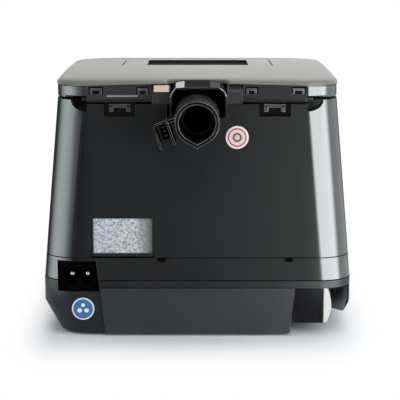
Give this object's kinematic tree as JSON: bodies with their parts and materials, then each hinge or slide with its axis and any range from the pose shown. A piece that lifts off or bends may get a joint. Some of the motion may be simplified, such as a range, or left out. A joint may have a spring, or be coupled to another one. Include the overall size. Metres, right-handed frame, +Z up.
{
  "type": "bedside cpap machine",
  "caption": "Bedside CPAP machine with a built-in humidifier, a hinged silver lid, a swivelling rear air port, a pull-out filter and a control dial.",
  "frame": {"origin": "on the surface that the feet stand on, under the middle of the bounding box", "axes": "+Z up, -Y towards the back of the machine with its air port, +X to the right when the back is faced"},
  "size_m": [0.17, 0.2232, 0.1397],
  "materials": {
    "charcoal": "satin charcoal moulded plastic",
    "base_grey": "fine-textured bluish charcoal plastic",
    "silver": "warm silver-grey metallic plastic",
    "black_trim": "black plastic with polished edges",
    "gloss_black": "piano black",
    "rubber": "matte",
    "silicone": "translucent grey",
    "steel": "bright",
    "aluminium": "turned",
    "contact_metal": "copper coloured",
    "circuit_board": "green solder mask",
    "white_plastic": "satin white",
    "filter_foam": "speckled grey-white fibre",
    "clear_plastic": "clear smoke tint",
    "display_glass": "smoked window",
    "display_panel": "liquid crystal panel",
    "marker_white": "white film with a red ring",
    "marker_blue": "blue film with a white ring"
  },
  "bodies": {
    "casing": {"base_shell": "base_grey", "mid_chassis": "charcoal", "upper_shell": "charcoal", "outlet_housing": "black_trim", "outlet_seal_ring": "rubber", "power_inlet": "black_trim", "inlet_pin_left": "steel", "inlet_pin_right": "steel", "stick_reader": "black_trim", "blower_housing_lower": "black_trim", "blower_housing_upper": "black_trim", "blower_motor": "steel", "blower_mount_1": "rubber", "blower_mount_2": "rubber", "blower_mount_3": "rubber", "air_duct": "black_trim", "chamber_bay": "charcoal", "heater_insulator": "silicone", "heater_plate": "aluminium", "water_chamber_tub": "clear_plastic", "chamber_base_plate": "steel", "chamber_seal": "silicone", "chamber_cover": "clear_plastic", "power_board": "circuit_board", "power_transformer": "contact_metal", "bulk_capacitor": "black_trim", "control_board": "circuit_board", "front_fascia": "gloss_black", "display_window": "display_glass", "display_module": "display_panel", "hinge_pin_left": "steel", "hinge_pin_right": "steel", "foot_rear_left": "rubber", "foot_rear_right": "rubber", "foot_front_left": "rubber", "foot_front_right": "rubber", "case_screw_rear_left": "steel", "case_screw_rear_right": "steel", "case_screw_front_left": "steel", "case_screw_front_right": "steel", "outlet_marker": "marker_white", "base_marker": "marker_blue"},
    "lid": {"lid_cover": "silver", "lid_frame": "charcoal", "lid_seal": "rubber", "lid_latch": "black_trim"},
    "release_button": {"lid_button": "silver", "lid_button_window": "gloss_black"},
    "air_port": {"outlet_elbow": "black_trim", "elbow_contacts": "contact_metal"},
    "filter": {"filter_frame": "black_trim", "air_filter": "filter_foam"},
    "stick": {"data_stick": "white_plastic", "stick_plug": "steel"},
    "rotor": {"motor_shaft": "steel", "impeller": "white_plastic"},
    "dial": {"control_dial": "silver"},
    "dial_push": {"dial_button": "gloss_black"},
    "start_key": {"start_button": "base_grey"},
    "ramp_key": {"ramp_button": "base_grey"}
  },
  "joints": [
    {"name": "lid_hinge", "type": "hinge", "parent": "casing", "child": "lid", "pos_m": [0, -0.07676, 0.1302], "axis": [1, 0, 0], "range_deg": [0, 92]},
    {"name": "lid_release", "type": "slide", "parent": "lid", "child": "release_button", "axis": [0, 0, -1], "range_m": [0, 0.0016], "stiffness_N_per_m": 350, "springref_m": -0.002},
    {"name": "port_swivel", "type": "hinge", "parent": "casing", "child": "air_port", "pos_m": [0, -0.08755, 0.121], "axis": [0, 1, 0], "range_deg": [-90, 90]},
    {"name": "filter_pull", "type": "slide", "parent": "casing", "child": "filter", "axis": [0, -1, 0], "range_m": [0, 0.03]},
    {"name": "stick_pull", "type": "slide", "parent": "casing", "child": "stick", "axis": [0, -1, 0], "range_m": [0, 0.045]},
    {"name": "impeller_spin", "type": "hinge", "parent": "casing", "child": "rotor", "pos_m": [-0.02, -0.01355, 0.055], "axis": [0, 0, 1], "continuous": true},
    {"name": "dial_turn", "type": "hinge", "parent": "casing", "child": "dial", "pos_m": [0.027, 0.10125, 0.08803], "axis": [0, 0.996, 0.0896], "continuous": true},
    {"name": "dial_press", "type": "slide", "parent": "dial", "child": "dial_push", "axis": [0, -0.996, -0.0896], "range_m": [0, 0.001], "stiffness_N_per_m": 100, "springref_m": -0.002},
    {"name": "start_press", "type": "slide", "parent": "casing", "child": "start_key", "axis": [0, -0.996, -0.0896], "range_m": [0, 0.001], "stiffness_N_per_m": 60, "springref_m": -0.002},
    {"name": "ramp_press", "type": "slide", "parent": "casing", "child": "ramp_key", "axis": [0, -0.996, -0.0896], "range_m": [0, 0.001], "stiffness_N_per_m": 60, "springref_m": -0.002}
  ]
}
